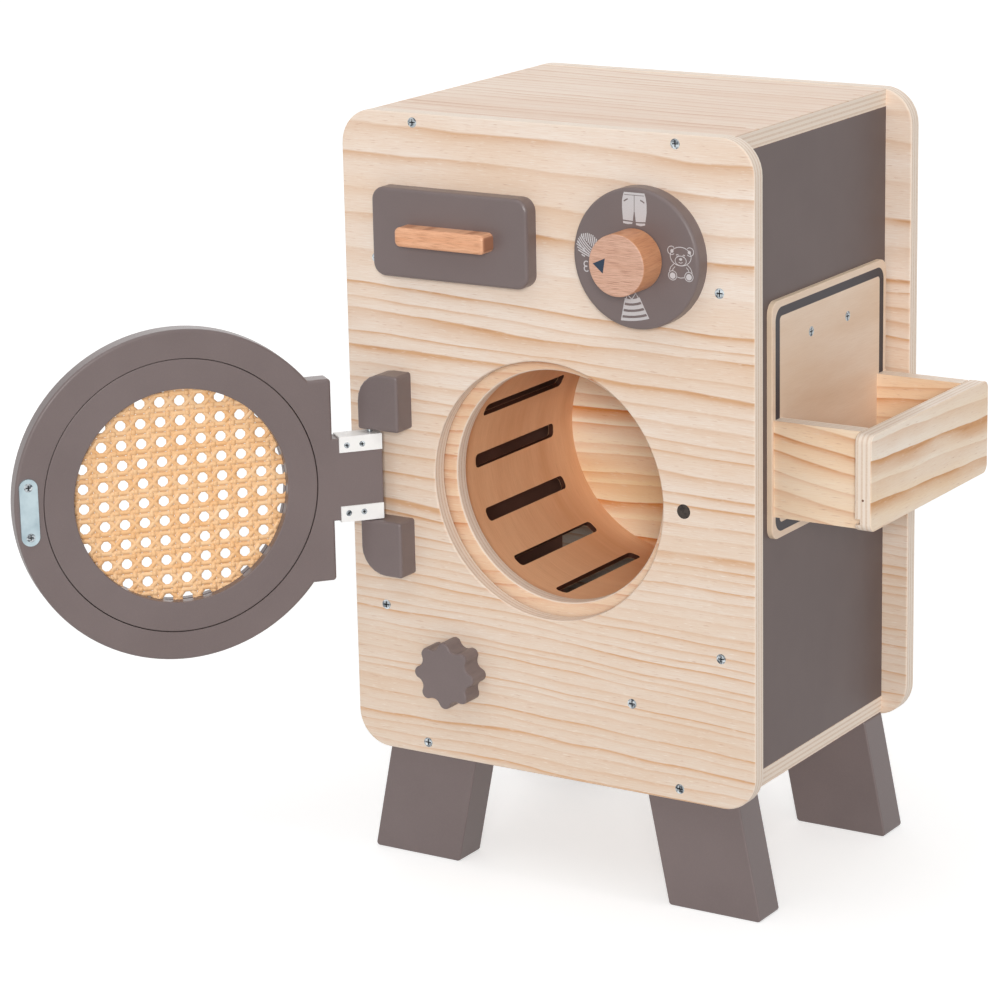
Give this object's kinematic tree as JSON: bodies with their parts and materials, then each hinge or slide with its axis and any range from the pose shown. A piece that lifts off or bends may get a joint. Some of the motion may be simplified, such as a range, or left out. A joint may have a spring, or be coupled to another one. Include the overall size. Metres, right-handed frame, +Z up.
{
  "type": "toy washing machine",
  "caption": "Wooden toy front loader: cabinet on splayed legs, slotted drum, round cane door, soap drawer, turning knobs and an open side tray.",
  "frame": {"origin": "on the floor under the middle of the part's bounding box, with the door standing open as stored", "axes": "+X to the right seen from the front, +Y from the front panel towards the back panel, +Z up"},
  "size_m": [0.5244, 0.4567, 0.543],
  "materials": {
    "pine": "clear satin lacquer over pine plywood",
    "beech_plywood": "clear satin lacquer over thin plywood",
    "taupe_paint": "satin grey-brown paint on wood",
    "painted_board": "fibreboard, painted grey-brown outside and bare brown inside",
    "beech": "clear satin lacquer over beech",
    "cane": "woven rattan cane",
    "white_steel": "white painted sheet steel",
    "magnet": "bare dark magnet",
    "zinc": "zinc plated steel"
  },
  "bodies": {
    "cabinet": {"front_panel": "pine", "back_panel": "pine", "top_panel": "pine", "bottom_panel": "pine", "left_side_panel": "painted_board", "right_side_panel": "painted_board", "front_left_leg": "taupe_paint", "front_right_leg": "taupe_paint", "rear_left_leg": "taupe_paint", "rear_right_leg": "taupe_paint", "leg_screws": "zinc", "front_screws": "zinc", "rear_screws": "zinc", "lower_front_screw": "zinc", "top_plugs": "pine", "door_magnet": "magnet", "upper_hinge_block": "taupe_paint", "lower_hinge_block": "taupe_paint", "hinge_block_screws": "zinc", "hinge_pins": "zinc", "drum_bearing_block": "pine", "dial_plate": "taupe_paint", "left_drawer_runner": "pine", "right_drawer_runner": "pine", "tray_back_plate": "beech_plywood", "tray_near_wall": "pine", "tray_far_wall": "pine", "tray_outer_board": "pine", "tray_bottom": "beech_plywood", "tray_screws": "zinc"},
    "door": {"door_frame": "taupe_paint", "door_inner_ring": "taupe_paint", "cane_webbing": "cane", "upper_hinge_bracket": "white_steel", "lower_hinge_bracket": "white_steel", "bracket_screws": "zinc", "strike_plate": "zinc", "strike_plate_screws": "zinc"},
    "drum": {"drum_front_ring": "pine", "drum_shell": "beech_plywood", "drum_back_disc": "pine", "drum_axle": "zinc", "drum_axle_screws": "zinc", "drum_lock_nut": "zinc"},
    "dial": {"dial_knob": "beech", "dial_bolt": "zinc"},
    "filter": {"filter_knob": "taupe_paint", "filter_bolt": "zinc"},
    "drawer": {"drawer_front": "taupe_paint", "drawer_handle": "beech", "handle_screws": "zinc", "drawer_left_wall": "pine", "drawer_right_wall": "pine", "drawer_back_wall": "pine", "drawer_bottom": "beech_plywood"}
  },
  "joints": [
    {"name": "door_hinge", "type": "hinge", "parent": "cabinet", "child": "door", "pos_m": [-0.09666, -0.02625, 0.2887], "axis": [0, 0, 1], "range_deg": [-51, 129]},
    {"name": "drum_spin", "type": "hinge", "parent": "cabinet", "child": "drum", "pos_m": [0.04084, 0.19675, 0.2887], "axis": [0, 1, 0], "continuous": true},
    {"name": "dial_turn", "type": "hinge", "parent": "cabinet", "child": "dial", "pos_m": [0.11935, -0.02725, 0.46], "axis": [0, -1, 0], "continuous": true},
    {"name": "filter_turn", "type": "hinge", "parent": "cabinet", "child": "filter", "pos_m": [-0.03615, -0.01525, 0.1495], "axis": [0, -1, 0], "continuous": true},
    {"name": "drawer_slide", "type": "slide", "parent": "cabinet", "child": "drawer", "axis": [0, -1, 0], "range_m": [0, 0.11]}
  ]
}
